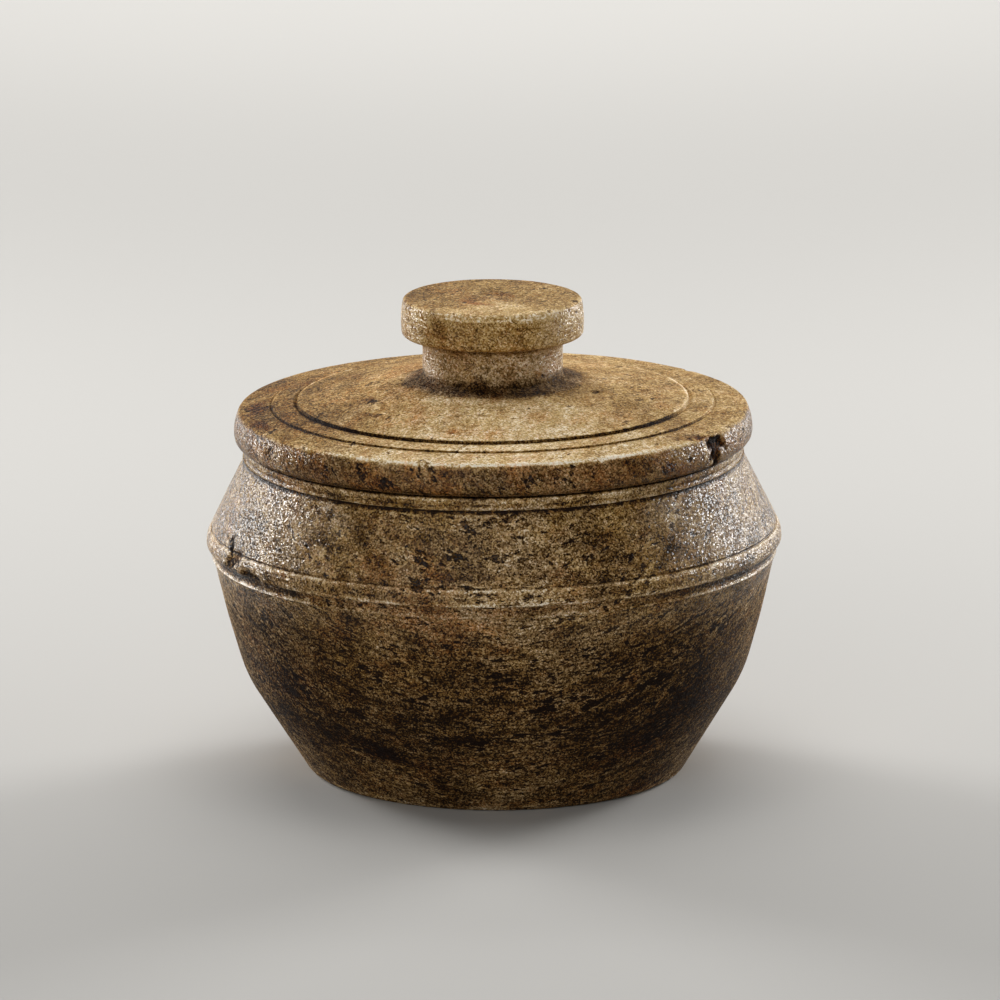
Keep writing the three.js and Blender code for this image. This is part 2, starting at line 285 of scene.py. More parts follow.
class StoneColours(bpy.types.PropertyGroup):
    """The tones of the stone, from its deepest to its palest."""
    brown_1: tone_property("Brown 1", "Deepest brown", 0x110500)
    brown_2: tone_property("Brown 2", "Deep brown", 0x241402)
    brown_3: tone_property("Brown 3", "Dark brown", 0x452D09)
    brown_4: tone_property("Brown 4", "Main brown", 0x644C2B)
    brown_5: tone_property("Brown 5", "Light brown", 0x907550)
    brown_6: tone_property("Brown 6", "Pale brown", 0xBFA278)
    brown_7: tone_property("Brown 7", "Rubbed brown", 0xFDF0DC)
    ochre_1: tone_property("Ochre 1", "Deepest ochre", 0x1E0E02)
    ochre_2: tone_property("Ochre 2", "Deep ochre", 0x462D0C)
    ochre_3: tone_property("Ochre 3", "Dark ochre", 0x694C22)
    ochre_4: tone_property("Ochre 4", "Main ochre", 0x8C6630)
    ochre_5: tone_property("Ochre 5", "Light ochre", 0xB49254)
    ochre_6: tone_property("Ochre 6", "Pale ochre", 0xE2C48C)
    ochre_7: tone_property("Ochre 7", "Rubbed ochre", 0xFFF4DC)
    rust: tone_property("Rust", "Tint of the iron-stained patches", 0xE4AC64)
    floor: tone_property("Floor", "The pale floor", 0xB4B2AE)


class Corner(NamedTuple):
    """A corner of a turned outline, in millimetres. The leg up to it may be hidden from sight, and then has
    fewer points."""
    radius: float
    height: float
    round_off: float = WORN_ROUND
    hidden: bool = False


def along_leg(start, end, distance, depth=0.0):
    """The corner at a distance along the leg between two corners, sunk by a depth to the left of travel."""
    leg = np.subtract(end[:2], start[:2])
    leg = leg / np.hypot(*leg)
    radius = start.radius + leg[0] * distance - leg[1] * depth
    return Corner(radius, start.height + leg[1] * distance + leg[0] * depth)


def scribed_line(start, end, distance, width, depth, step=0.0):
    """Three corners of a line scribed across a leg. A step lowers the near lip, steepens the far wall."""
    beyond_middle = width * 0.3 if step else 0
    return [
        along_leg(start, end, distance - width / 2, step),
        along_leg(start, end, distance + beyond_middle, depth),
        along_leg(start, end, distance + width / 2),
    ]


def band(radius, bottom, height, relief, upper_share=1.0):
    """Four corners of a narrow band on an upright face, raised or sunk by its relief.
    Where the upper corner has a smaller share of the relief, the band's face looks upward."""
    return [
        Corner(radius, bottom),
        Corner(radius + relief, bottom + height * 0.3),
        Corner(radius + relief * upper_share, bottom + height * 0.7),
        Corner(radius, bottom + height),
    ]


def body_corners():
    """The body's outline, from the middle of the base, up the outside and down to the floor inside."""
    recess = RIDGE_RADIUS - RECESS_DEPTH
    ridge = Corner(RIDGE_RADIUS, RIDGE_TOP, RIDGE_TOP_ROUND)
    collar = Corner(COLLAR_RADIUS, SHOULDER_TOP)
    floor_radius = BASE_RADIUS + (FOOT_TOP_RADIUS - BASE_RADIUS) * FLOOR_THICKNESS / FOOT_HEIGHT
    return [
        Corner(0, 0),
        Corner(BASE_RADIUS, 0, BASE_EDGE_ROUND, hidden=True),
        Corner(FOOT_TOP_RADIUS, FOOT_HEIGHT, FOOT_TURN_ROUND),
        Corner((FOOT_TOP_RADIUS + recess) / 2 + WALL_SWELL, (FOOT_HEIGHT + WALL_TOP) / 2,
               WALL_SWELL_ROUND),
        *band(recess, WALL_TOP, RAISED_LINE_HEIGHT, RAISED_LINE_RELIEF, RAISED_LINE_UPPER_SHARE),
        Corner(recess, RIDGE_BOTTOM, RECESS_ROUND),
        Corner(RIDGE_RADIUS, RIDGE_BOTTOM, RIDGE_UNDER_ROUND),
        ridge,
        *scribed_line(ridge, collar, SHOULDER_LINE_FROM_RIDGE, SHOULDER_LINE_WIDTH, SHOULDER_LINE_DEPTH),
        *band(COLLAR_RADIUS, SHOULDER_TOP, LIP_HEIGHT, LIP_RELIEF),
        *band(COLLAR_RADIUS, SHOULDER_TOP + LIP_HEIGHT + LIP_TO_GROOVE,
              COLLAR_GROOVE_HEIGHT, -COLLAR_GROOVE_DEPTH),
        Corner(COLLAR_RADIUS, RIM_TOP, RIM_EDGE_ROUND),
        Corner(MOUTH_RADIUS, RIM_TOP, MOUTH_EDGE_ROUND),
        Corner(MOUTH_RADIUS, RIM_TOP - MOUTH_DEPTH, INNER_ROUND, hidden=True),
        Corner(RIDGE_RADIUS - WALL_THICKNESS, RIDGE_BOTTOM, INNER_ROUND, hidden=True),
        Corner(FOOT_TOP_RADIUS - WALL_THICKNESS, FOOT_HEIGHT, FOOT_TURN_ROUND, hidden=True),
        Corner(floor_radius - WALL_THICKNESS, FLOOR_THICKNESS, INNER_ROUND, hidden=True),
        Corner(0, FLOOR_THICKNESS, hidden=True),
    ]


def lid_corners():
    """The lid's outline, from the middle of its hollow, round the flange and up to the knob."""
    edge = Corner(EDGE_RADIUS, LID_EDGE_TOP, LID_UPPER_ROUND)
    spread = Corner(NECK_RADIUS + NECK_FOOT_SPREAD, NECK_FOOT, NECK_FOOT_ROUND)
    flange_inner = FLANGE_RADIUS - FLANGE_THICKNESS
    flange_share = (edge.radius - flange_inner) / (edge.radius - spread.radius)
    roof_edge = LID_EDGE_TOP + LID_TOP_RISE * flange_share - LID_THICKNESS
    return [
        Corner(0, NECK_FOOT - LID_THICKNESS),
        Corner(spread.radius, NECK_FOOT - LID_THICKNESS, LID_ROOF_ROUND, hidden=True),
        Corner(flange_inner, roof_edge, LID_HOLLOW_ROUND, hidden=True),
        Corner(flange_inner, SEAT - FLANGE_DEPTH, FLANGE_EDGE_ROUND, hidden=True),
        Corner(FLANGE_RADIUS, SEAT - FLANGE_DEPTH, FLANGE_EDGE_ROUND, hidden=True),
        Corner(FLANGE_RADIUS, SEAT, hidden=True),
        Corner(LID_RADIUS, SEAT, LID_LOWER_ROUND, hidden=True),
        Corner(LID_RADIUS, SEAT + LID_EDGE_HEIGHT * LID_WIDEST_SHARE, LID_SIDE_ROUND),
        edge,
        *scribed_line(edge, spread, OUTER_RING_FROM_EDGE,
                      OUTER_RING_WIDTH, OUTER_RING_DEPTH, OUTER_RING_STEP),
        *scribed_line(edge, spread, OUTER_RING_FROM_EDGE + RING_SPACING,
                      INNER_RING_WIDTH, INNER_RING_DEPTH, INNER_RING_STEP),
        spread,
        Corner(NECK_RADIUS, NECK_FOOT + NECK_FOOT_HEIGHT, NECK_BOTTOM_ROUND),
        Corner(NECK_RADIUS, KNOB_BOTTOM, NECK_TOP_ROUND),
        Corner(KNOB_RADIUS - KNOB_TAPER / 2, KNOB_BOTTOM + KNOB_UNDERSIDE_RISE, KNOB_LOWER_ROUND),
        Corner(KNOB_RADIUS, (KNOB_BOTTOM + KNOB_TOP) / 2, KNOB_SIDE_ROUND),
        Corner(KNOB_RADIUS - KNOB_TAPER, KNOB_TOP, KNOB_UPPER_ROUND),
        Corner(DISH_RADIUS, KNOB_TOP, DISH_EDGE_ROUND),
        Corner(DISH_RADIUS / 2, KNOB_TOP - DISH_DEPTH, DISH_RADIUS),
        Corner(0, KNOB_TOP - DISH_DEPTH),
    ]


def arc_points(before, here, after, round_off, step):
    """The points of a corner's round: an arc tangent to both legs, or the corner alone on a straight.

    The centre lies on the corner's bisector at radius / cos(half the turn), and the points sweep at even
    angles.
    """
    back, ahead = before - here, after - here
    back_length, ahead_length = np.hypot(*back), np.hypot(*ahead)
    back, ahead = back / back_length, ahead / ahead_length
    half_turn = (math.pi - math.acos(np.clip(back @ ahead, -1, 1))) / 2
    if half_turn <= 0.001:
        return [here]
    reach = min(round_off * math.tan(half_turn), min(back_length, ahead_length) * LARGEST_ROUND_SHARE)
    radius = reach / math.tan(half_turn)
    middle = back + ahead
    centre = here + middle / np.hypot(*middle) * radius / math.cos(half_turn)
    start, end = here + back * reach - centre, here + ahead * reach - centre
    sweep = math.atan2(start[0] * end[1] - start[1] * end[0], start @ end)
    count = int(max(math.ceil(abs(sweep) / ARC_TURN), math.ceil(radius * abs(sweep) / step), 2))
    turns = np.linspace(0, sweep, count + 1)[:, None]
    return list(centre + np.cos(turns) * start + np.sin(turns) * np.array([-start[1], start[0]]))


def leg_points(start, end, step):
    """The points between the ends of a straight leg: even steps, with one more point close to either end,
    so that a flat shades flat."""
    leg = end - start
    length = np.hypot(*leg)
    if length <= 1e-6:
        return []
    shares = np.linspace(0, 1, max(2, int(round(length / step)) + 1))[1:-1]
    guard = min(END_POINT / length, 0.2)
    inner = shares[(shares > guard) & (shares < 1 - guard)]
    return [start + leg * share for share in np.unique([guard, *inner, 1 - guard])]


def outline_points(corners, fine_step, coarse_step):
    """The points of an outline in millimetres: straight legs, with an arc at each corner between them."""
    places = [np.array(corner[:2], float) for corner in corners]
    straight_on = 2 * places[-1] - places[-2]
    points = [places[0]]
    for corner, before, here, after in zip(corners[1:], places, places[1:], [*places[2:], straight_on]):
        step = coarse_step if corner.hidden else fine_step
        arc = arc_points(before, here, after, corner.round_off, step)
        points += leg_points(points[-1], arc[0], step)
        points += arc
    return np.array(points)


def value_noise(points, size, seed):
    """Smooth noise from -1 to 1 at an array of points: random values on a cubic lattice of the given size,
    blended with the quintic fade. The values come from a whole-number hash, so they never change."""
    cells = np.asarray(points) / size
    low = np.floor(cells).astype(np.int64)
    share = cells - low
    share = share ** 3 * (share * (share * 6 - 15) + 10)
    total = np.zeros(cells.shape[:-1])
    for i in range(8):
        step = np.array([i & 1, i >> 1 & 1, i >> 2 & 1])
        key = (low + step) @ np.array([73856093, 19349663, 83492791]) + seed * 2654435761
        for shift, factor in ((13, 1274126177), (16, 2246822519)):
            key = (key ^ key >> shift) * factor & 0xFFFFFFFF
        weight = np.prod(np.where(step, share, 1 - share), axis=-1)
        total += weight * (key / 0x7FFFFFFF - 1)
    return total


def smooth_step(low, high, value):
    """0 below low, 1 above high and a smooth S between them."""
    share = np.clip((value - low) / (high - low), 0, 1)
    return share * share * (3 - 2 * share)


def near(values, centre, width):
    """1 at the centre, falling off as a smooth bell of the given width."""
    return np.exp(-((values - centre) / width) ** 2)


def side_on(bearing):
    """0 within 0.45 radians of the front, and 1 past 1.1 radians, at the sides and the back."""
    return smooth_step(0.45, 1.1, np.abs(bearing))


def bearing_from(mark, bearing):
    """Bearings in radians, measured from a mark's own, the shorter way round."""
    return np.remainder(bearing - math.radians(mark.bearing) + math.pi, 2 * math.pi) - math.pi


def mark_masks(grid, outline, travelled, marks, seed):
    """How strongly each mark shows at each point: an ellipse laid in the surface, with a ragged outline.

    Across is the bearing's difference times the radius, and up is the distance along the outline. A chip
    ends sharply, and a stain fades.
    """
    masks = []
    for k, mark in enumerate(marks):
        level = travelled[np.argmin(np.hypot(outline[:, 0] - mark.radius, outline[:, 1] - mark.height))]
        across, up = bearing_from(mark, grid["bearing"]) * grid["radius"], grid["travelled"] - level
        turn = math.radians(mark.slant)
        length = across * math.cos(turn) - up * math.sin(turn)
        width = across * math.sin(turn) + up * math.cos(turn)
        rag_size = max(max(mark.half_width, mark.half_height) * 0.35, 0.5)
        ragged = value_noise(np.stack([length, width, 0 * length], -1), rag_size, seed + k)
        distance = np.hypot(length / mark.half_width, width / mark.half_height)
        if mark.depth:
            masks.append(smooth_step(1.12, 0.6, distance + ragged * 0.42))
        else:
            masks.append(smooth_step(1.4, 0.3, distance + ragged * 0.4))
    return masks


def column_bearings(count, marks):
    """Bearings of the columns: even round the stone, and up to four times closer where it is chipped."""
    angles = np.linspace(-math.pi, math.pi, 7201)
    closeness = np.ones_like(angles)
    for mark in marks:
        if mark.depth:
            closeness += 3.0 * near(bearing_from(mark, angles) * mark.radius, 0, mark.half_width + 1.5)
    closeness = np.minimum(closeness, 4)
    travelled = np.concatenate([[0], np.cumsum((closeness[1:] + closeness[:-1]) / 2)])
    return np.interp(np.arange(count) / count * travelled[-1], travelled, angles)


def finishing_depth(grid, worn, unevenness, seed):
    """How far the finished surface lies inside the turned form, in millimetres: long waves, a fine ripple
    and a little more where it is worn. The axis and the base stay true."""
    place = grid["place"]
    long_waves = value_noise(place, 19, seed) * 0.7
    depth = unevenness * (1 + long_waves + value_noise(place, 6.5, seed + 1) * 0.3) / 2
    depth = depth + unevenness * 0.16 * (1 + value_noise(place, 1.7, seed + 2))
    # The wear mask also holds painted highlights, so these sink the surface a little too
    depth = depth + worn * 0.04 * (1 + value_noise(place, 2.4, seed + 3))
    return depth * smooth_step(0, 3, grid["radius"]) * (grid["height"] > 0.02)


def turned_stone(name, corners, marks, settings, material, colouring, seed):
    """A turned stone as a mesh. Radius and height run along the outline, and each point makes a ring.

    A point at bearing t is (r sin t, -r cos t, z). It is pushed inward along the outline's normal by
    smooth noise, by wear and by chips. Then the whole stone leans: x loses a share of its height above
    the ridge, and z gains a share of x. Each point carries its look and its distance along the outline.
    """
    outline = outline_points(corners, settings.fine_step / MM, settings.coarse_step / MM)
    travelled = np.concatenate([[0], np.cumsum(np.hypot(*np.diff(outline, axis=0).T))])
    tangent = np.gradient(outline, travelled, axis=0)
    tangent /= np.maximum(np.hypot(*tangent.T), 1e-9)[:, None]
    outward_radius, outward_height = tangent[1:-1, 1:], -tangent[1:-1, :1]
    bearing = column_bearings(settings.columns, marks)[None]
    radius, height, length, bearing = np.broadcast_arrays(
        outline[1:-1, :1], outline[1:-1, 1:], travelled[1:-1, None], bearing)
    place = np.stack([radius * np.sin(bearing), -radius * np.cos(bearing), height], -1)
    grid = {"radius": radius, "height": height, "travelled": length, "bearing": bearing, "place": place}

    look = colouring(grid)
    depth = finishing_depth(grid, look.pop("worn"), settings.unevenness / MM, seed)
    broken = 0.8 + 0.3 * value_noise(place, 1.3, seed + 5) + 0.25 * value_noise(place, 0.6, seed + 6)
    for mask, mark in zip(mark_masks(grid, outline, travelled, marks, seed + 20), marks):
        depth = np.maximum(depth, mask * mark.depth * broken)
        look["tone"] = look["tone"] + mask * mark.tone
        look["rust"] = look["rust"] + mask * mark.rust
        look["flecked"] = look["flecked"] - mask * mark.tone * 0.7
        if mark.depth:
            look["dull"] = np.maximum(look["dull"], mask)
    look["rust"] = np.clip(look["rust"], 0, 1)
    look["turning"] = length * MM

    radius = radius - depth * outward_radius
    x, z = settle_askew(radius * np.sin(bearing), height - depth * outward_height)
    poles = [(settle_askew(0.0, outline[k, 1])[0], 0.0, outline[k, 1]) for k in (0, -1)]
    points = np.concatenate([np.stack([x, -radius * np.cos(bearing), z], -1).reshape(-1, 3), poles]) * MM
    mesh = bpy.data.meshes.new(name)
    mesh.from_pydata(points, [], ring_faces(*radius.shape))
    for key, values in look.items():
        rows = np.concatenate([values.ravel(), [values[0].mean(), values[-1].mean()]])
        mesh.attributes.new(key, "FLOAT", "POINT").data.foreach_set("value", rows.astype(np.float32))
    mesh.shade_smooth()
    mesh.materials.append(material)
    piece = bpy.data.objects.new(name, mesh)
    bpy.context.scene.collection.objects.link(piece)
    return piece


def settle_askew(x, z):
    """Leans a point: x shifts with the height above the ridge, and z by x times the slope there."""
    slope = np.interp(z, LEVEL_ERROR_HEIGHTS, LEVEL_ERROR_SLOPES)
    return x - LEAN * (z - RIDGE_BOTTOM), z + slope * x


def ring_faces(rings, columns):
    """Quads between neighbouring rings, and a fan of triangles from each end ring to its pole."""
    index = np.arange(rings * columns).reshape(rings, columns)
    ahead = np.roll(index, -1, axis=1)
    quads = np.stack([index[:-1], ahead[:-1], ahead[1:], index[1:]], -1).reshape(-1, 4)
    first, last = rings * columns, rings * columns + 1
    bottom = np.stack([np.full(columns, first), ahead[0], index[0]], -1)
    top = np.stack([np.full(columns, last), index[-1], ahead[-1]], -1)
    return quads.tolist() + bottom.tolist() + top.tolist()


def body_colouring(grid):
    """The look of the body: its tone, ochre, rust, dullness and black flecks, and where it is worn.

    The recess, the lines and the seams under the lid are darkened, partly by soil and partly by painted
    shade. The raised line, the lips and the foot's edge are rubbed pale, the line least at the front; the
    raised line's paleness at the sides and the ridge's lower edge at the front are painted highlights too.
    Below the shoulder the sides are a little darker by painted shade, and the far sides of the lower wall
    lighter by a painted highlight. Places and widths are in millimetres, bearings in radians, and the
    strengths are shares of the scale from black to white.
    """
    radius, height, bearing, place = grid["radius"], grid["height"], grid["bearing"], grid["place"]
    # a cone of 36 mm at the base runs inside the wall, between its two faces
    outside = (radius > COLLAR_RADIUS - 1) | (height < WALL_TOP) & (radius > height * 0.42 + 36)
    side = side_on(bearing)
    shoulder = smooth_step(RIDGE_BOTTOM, RIDGE_TOP, height)
    tone = np.interp(height, BODY_TONE_HEIGHTS, BODY_TONES)
    # Below the shoulder the sides are a little darker: painted shade
    tone = tone + value_noise(place, 11, 31) * 0.04 + side * (0.03 * shoulder - 0.03)
    tone = tone - 0.05 * near(bearing, 0.7, 0.4)
    # The far sides of the lower wall are lighter: a painted highlight where the side light grazes the wall
    tone = tone + 0.12 * smooth_step(1.05, 1.5, np.abs(bearing)) * (height < WALL_TOP)

    raised_line = near(height, WALL_TOP + 0.5, 0.3)
    ridge_edge = near(height, RIDGE_BOTTOM + 0.5, 0.4)
    line_lip = near(height, SHOULDER_LINE_HEIGHT - 0.32, 0.16)
    collar_lip = near(height, SHOULDER_TOP + 0.22, 0.2)
    rim_edge = near(height, RIM_TOP - 0.5, 0.35)
    foot_edge = near(height, 0.5, 0.7)
    # The raised line is paler at the sides, partly wear and partly a painted highlight; the ridge's lower
    # edge at the front is a painted highlight
    worn = raised_line * (0.55 + 0.95 * side) + collar_lip * 0.8 + rim_edge * 0.4 + foot_edge * 0.7
    worn = worn + ridge_edge * 0.9 * (1 - side) + line_lip * 1.4
    rub = np.clip(0.65 + 0.3 * side + 0.5 * value_noise(place, 2.4, 32), 0, 1)

    recess = near(height, RIDGE_BOTTOM - 0.65, 0.65) * (radius < RIDGE_RADIUS - 0.5)
    shoulder_line = near(height, SHOULDER_LINE_HEIGHT, 0.17)
    collar_seam = near(height, SHOULDER_TOP - 0.12, 0.22)
    collar_groove = near(height, SHOULDER_TOP + 1.0, 0.25)
    lid_seam = near(height, RIM_TOP, 0.3)
    # The recess under the ridge, the shoulder line and the seams under the lid are darkened, partly soil
    # and partly painted shade, the recess most at the sides
    soil_and_shade = recess * (0.2 + 0.7 * side) + shoulder_line * (0.3 + 0.3 * side)
    soil_and_shade = soil_and_shade + collar_seam * 1.1 + collar_groove * 0.2 + lid_seam * 0.7

    tone = tone + (worn * rub * 0.34 - soil_and_shade * 0.45) * outside
    tone = np.where(outside, tone, 0.24 + value_noise(place, 9, 33) * 0.04)
    ochre = 0.36 + 0.25 * near(height, SHOULDER_TOP, 2.5) + 0.25 * value_noise(place, 17, 35)
    rust = np.clip(value_noise(place, 14, 34) * 0.5 - 0.1, 0, 0.4)
    rust = rust + near(height, RIDGE_BOTTOM - 0.9, 1.0) * 0.25
    wall = smooth_step(46, 36, height)
    flecked = 0.04 * near(bearing, 0.05, 0.45) * shoulder + 0.05 * near(height, 28, 14)
    flecked = flecked - 0.1 * (height > SHOULDER_TOP) - 0.06 * side * shoulder
    return {"tone": tone, "ochre": np.clip(ochre, 0, 1), "rust": rust,
            "dull": np.clip(soil_and_shade * outside * 0.6 + wall, 0, 1), "flecked": flecked, "worn": worn * outside}


def lid_colouring(grid):
    """The look of the lid: its tone, ochre, rust, dullness and black flecks, and where it is worn.

    Its top is ochre, its edge brown and blotched, and its neck greyer. The top is lighter partly by painted
    light from above, and darker at its sides and to the left by painted shade; the edge, the knob's side
    and the neck are lighter at their sides by painted highlights. Both rings hold painted shade where no
    light falls into them, and their lips a painted highlight where it does. The neck's foot is darkened by
    a deposit and the knob's painted shadow, and the rim's lower band and the line under the knob by painted
    shade and soil. The upper edges are rubbed pale, the lid's edge most at the front, where it is also a
    painted highlight. Places and widths are in millimetres, bearings in radians, and strengths are shares
    of the scale from black to white.
    """
    radius, height, bearing, place = grid["radius"], grid["height"], grid["bearing"], grid["place"]
    side = side_on(bearing)
    top = smooth_step(LID_EDGE_TOP - 1.0, LID_EDGE_TOP - 0.2, height + value_noise(place, 2.2, 40) * 0.35)
    under = height < SEAT + 0.6
    cone = (height > LID_EDGE_TOP - 0.3) & (height < NECK_FOOT + 0.8)
    neck = (height > NECK_FOOT) & (height < KNOB_BOTTOM + KNOB_UNDERSIDE_RISE) & (radius < KNOB_RADIUS - 1)
    knob_side = (height > KNOB_BOTTOM) & ~neck & (height < KNOB_TOP - 1.2)
    brown_edge = (1 - top) * ~neck * ~knob_side
    # The top is lighter, partly its own ochre stone and partly painted light from above; at the sides the
    # top is darker by painted shade and the edge lighter by a painted highlight
    tone = 0.37 + 0.34 * top + side * 0.06 * (1 - top) - side * 0.17 * top - 0.09 * (height > KNOB_TOP - 1)
    tone = tone + (1 - top) * (value_noise(place, 5, 48) * 0.05 + value_noise(place, 2.2, 49) * 0.03)
    # The knob's side and the neck are lighter at the sides: painted highlights
    tone = np.where(knob_side, 0.55 + 0.08 * side, tone)
    tone = np.where(neck, 0.54 + 0.1 * side, tone)
    tone = np.where(under, 0.26, tone) + value_noise(place, 8, 45) * 0.03
    # The top darker towards the left: painted shade
    tone = tone - 0.18 * near(bearing, -1.7, 1.2) * smooth_step(20, 46, radius) * top

    # lit is where the rings' sides face the light. Everywhere else the rings get painted shade, weaker
    # towards the left, and where lit their lips get a painted highlight
    lit = smooth_step(1.0, 1.35, bearing) + smooth_step(1.45, 1.7, -bearing)
    lit = lit * smooth_step(2.7, 2.3, np.abs(bearing))
    inner_ring = near(radius, INNER_RING_RADIUS - 0.05, 0.42)
    outer_ring = near(radius, OUTER_RING_RADIUS, 0.27)
    soil_and_shade = (inner_ring * 1.7 + outer_ring * 1.1) * cone * (1 - lit)
    soil_and_shade = soil_and_shade * (1 - 0.75 * smooth_step(1.0, 1.4, -bearing))
    # Round the neck's foot: a dark deposit and the painted shadow of the knob
    foot = smooth_step(20.2, 16.8, radius + value_noise(place, 3.5, 42) * 1.6)
    foot = foot * smooth_step(86.0, 83.6, height + value_noise(place, 2.5, 43) * 0.5) * (height > SEAT + 8)
    # The rim's lower band and the line under the knob: painted shade and some soil
    seam_shade_and_soil = smooth_step(SEAT + 1.6, SEAT + 0.3, height) * ~under
    seam_shade_and_soil = seam_shade_and_soil + near(height, KNOB_BOTTOM - 0.1, 0.5) * 1.6 * (radius < KNOB_RADIUS - 1)

    lid_edge = near(height, LID_EDGE_TOP - 0.2, 0.25) * near(radius, EDGE_RADIUS - 0.4, 0.8)
    knob_edge = near(height, KNOB_TOP - 0.6, 0.8) * near(radius, KNOB_RADIUS - 0.9, 1.0)
    inner_lip = near(radius, INNER_RING_RADIUS - 0.6, 0.25) * cone
    outer_lip = near(radius, OUTER_RING_RADIUS - 0.5, 0.25) * cone
    # The lid's upper edge is rubbed pale and, most at the front, also a painted highlight; the ring lips
    # get a painted highlight where lit
    worn = lid_edge * (3.0 - 2.4 * side) + knob_edge * 0.8
    worn = worn + inner_lip * (0.6 + 1.2 * lit) + outer_lip * lit * 0.8
    rub = np.clip(0.6 + 0.4 * value_noise(place, 3.0, 44) + 0.4 * value_noise(place, 1.6, 47), 0, 1)

    tone = tone + worn * rub * 0.24 - soil_and_shade * 0.6 - foot * 0.35 - seam_shade_and_soil * 0.12
    ochre = np.clip(0.35 + 0.65 * top - 0.75 * neck - 0.6 * foot + 0.4 * knob_side, 0, 1)
    rust = np.clip(value_noise(place, 9, 46) * 0.5 - 0.15, 0, 0.35) * top + brown_edge * 0.4
    rust = rust + 0.2 * near(bearing, -1.7, 0.9) * top
    dull = soil_and_shade + foot + 0.8 * top * (height < NECK_FOOT + 0.5) + 0.6 * (height > KNOB_TOP - 0.5)
    flecked = 0.06 * brown_edge - 0.12 * neck
    return {"tone": tone, "ochre": ochre, "rust": np.clip(rust + neck * 0.05, 0, 1),
            "dull": np.clip(dull, 0, 1), "flecked": flecked, "worn": worn}


def add(tree, kind, inputs=None, **settings):
    """Adds a node. Settings are its own values, and inputs are socket values or the sockets fed in."""
    node = tree.nodes.new(kind)
    for key, value in settings.items():
        setattr(node, key, value)
    for key, value in (inputs or {}).items():
        if isinstance(value, bpy.types.NodeSocket):
            tree.links.new(value, node.inputs[key])
        else:
            node.inputs[key].default_value = value
    return node


def tone_ramp(tree, tone, colours):
    """Turns a tone into a colour: each colour sits where its own brightness is, on the sRGB scale."""
    ramp = add(tree, "ShaderNodeValToRGB", {"Fac": tone})
    elements = ramp.color_ramp.elements
    for k, colour in enumerate(colours):
        bright = (0.2126 * colour[0] + 0.7152 * colour[1] + 0.0722 * colour[2]) ** (1 / 2.2)
        element = elements[k] if k < 2 else elements.new(1)
        element.position, element.color = bright, tuple(colour)
    return ramp.outputs["Color"]


def black_share(tree, layers, flecked, rare):
    """1 where the stone is black, and 0 elsewhere. Each layer crowds where its cloud is dense, and what
    rises above its threshold is black: the higher rare is, the less."""
    blacks = []
    for layer, cloud, gather, threshold in layers:
        height = add(tree, "ShaderNodeMath", {0: layer, 1: flecked}).outputs[0]
        height = add(tree, "ShaderNodeMath", {
            0: cloud, 1: gather, 2: height}, operation="MULTIPLY_ADD").outputs[0]
        black = add(tree, "ShaderNodeMapRange", {
            "Value": height, "From Min": rare + threshold, "From Max": rare + threshold + 0.05})
        blacks.append(black.outputs[0])
    return add(tree, "ShaderNodeMath", {0: blacks[0], 1: blacks[1]}, operation="MAXIMUM").outputs[0]


def mottled(tree, tone, layers, contrast, black):
    """The tone, lighter and darker by each layer's share of the contrast, and darkened by the blacks."""
    for layer, share in layers:
        weight = share * contrast
        centred = add(tree, "ShaderNodeMath", {
            0: layer, 1: weight, 2: -weight / 2}, operation="MULTIPLY_ADD").outputs[0]
        tone = add(tree, "ShaderNodeMath", {0: tone, 1: centred}).outputs[0]
    return add(tree, "ShaderNodeMath", {
        0: black, 1: -0.34 * contrast, 2: tone}, operation="MULTIPLY_ADD").outputs[0]


def hue_share(tree, share, hue, own):
    """The share of a hue, varied by the streaks, and by each grain's own chance, around their middles."""
    share = add(tree, "ShaderNodeMath", {0: own, 1: 0.7, 2: share}, operation="MULTIPLY_ADD").outputs[0]
    share = add(tree, "ShaderNodeMath", {0: hue, 1: 1.8, 2: share}, operation="MULTIPLY_ADD").outputs[0]
    return add(tree, "ShaderNodeMath", {0: share, 1: 1.3}, operation="SUBTRACT", use_clamp=True).outputs[0]


def grain_facets(tree, coordinates, grains):
    """The height of flat facets, one to each grain, each with a tilt of its own."""
    offset = add(tree, "ShaderNodeVectorMath", {
        0: coordinates, 1: grains.outputs["Position"]}, operation="SUBTRACT").outputs[0]
    tilt = add(tree, "ShaderNodeVectorMath", {
        0: grains.outputs["Color"], 1: (0.5, 0.5, 0.5)}, operation="SUBTRACT").outputs[0]
    facet = add(tree, "ShaderNodeVectorMath", {0: offset, 1: tilt}, operation="DOT_PRODUCT")
    return add(tree, "ShaderNodeMath", {0: facet.outputs["Value"], 1: 0.6}, operation="MULTIPLY").outputs[0]


